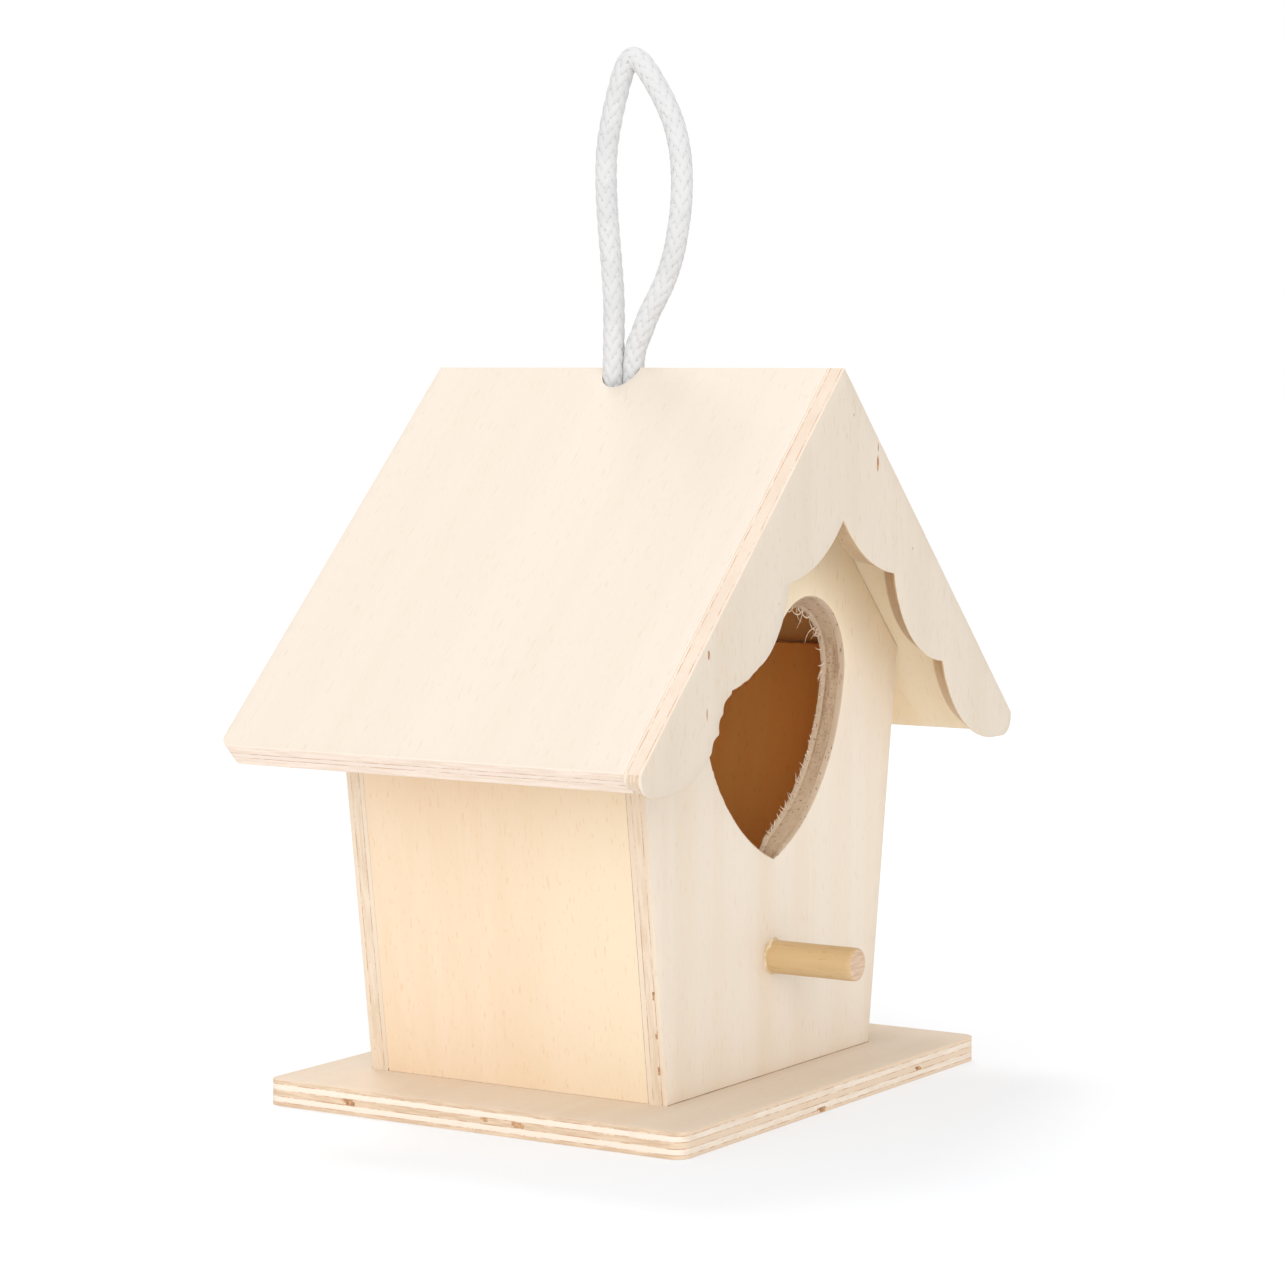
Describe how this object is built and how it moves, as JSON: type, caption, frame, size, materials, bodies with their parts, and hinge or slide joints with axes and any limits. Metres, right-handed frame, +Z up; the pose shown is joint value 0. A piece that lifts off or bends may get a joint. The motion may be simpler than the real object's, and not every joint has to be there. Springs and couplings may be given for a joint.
{
  "type": "birdhouse",
  "caption": "Small plywood birdhouse with a heart-shaped entrance, leaning side walls, pitched roof, scalloped gable board, dowel perch, flat base board and a braided hanging loop.",
  "frame": {"origin": "centre of the base board's underside, on the table", "axes": "+X to the house's right as seen from its front, +Y towards its back, +Z up"},
  "size_m": [0.1348, 0.0911, 0.1902],
  "materials": {
    "base_ply": "raw sanded five-ply plywood",
    "wall_ply": "raw sanded three-ply plywood",
    "side_ply": "raw sanded three-ply plywood",
    "roof_ply": "raw sanded three-ply plywood",
    "gable_ply": "raw sawn three-ply plywood",
    "dowel": "raw turned hardwood",
    "glue": "dried wood glue",
    "cord": "braided white cotton cord"
  },
  "bodies": {
    "root": {"base_plate": "base_ply", "front_panel": "wall_ply", "back_panel": "wall_ply", "side_panel_left": "side_ply", "side_panel_right": "side_ply", "roof_left": "roof_ply", "roof_right": "roof_ply", "gable_board": "gable_ply", "perch": "dowel", "perch_glue": "glue", "hang_cord": "cord", "cord_knot": "cord"}
  },
  "joints": []
}
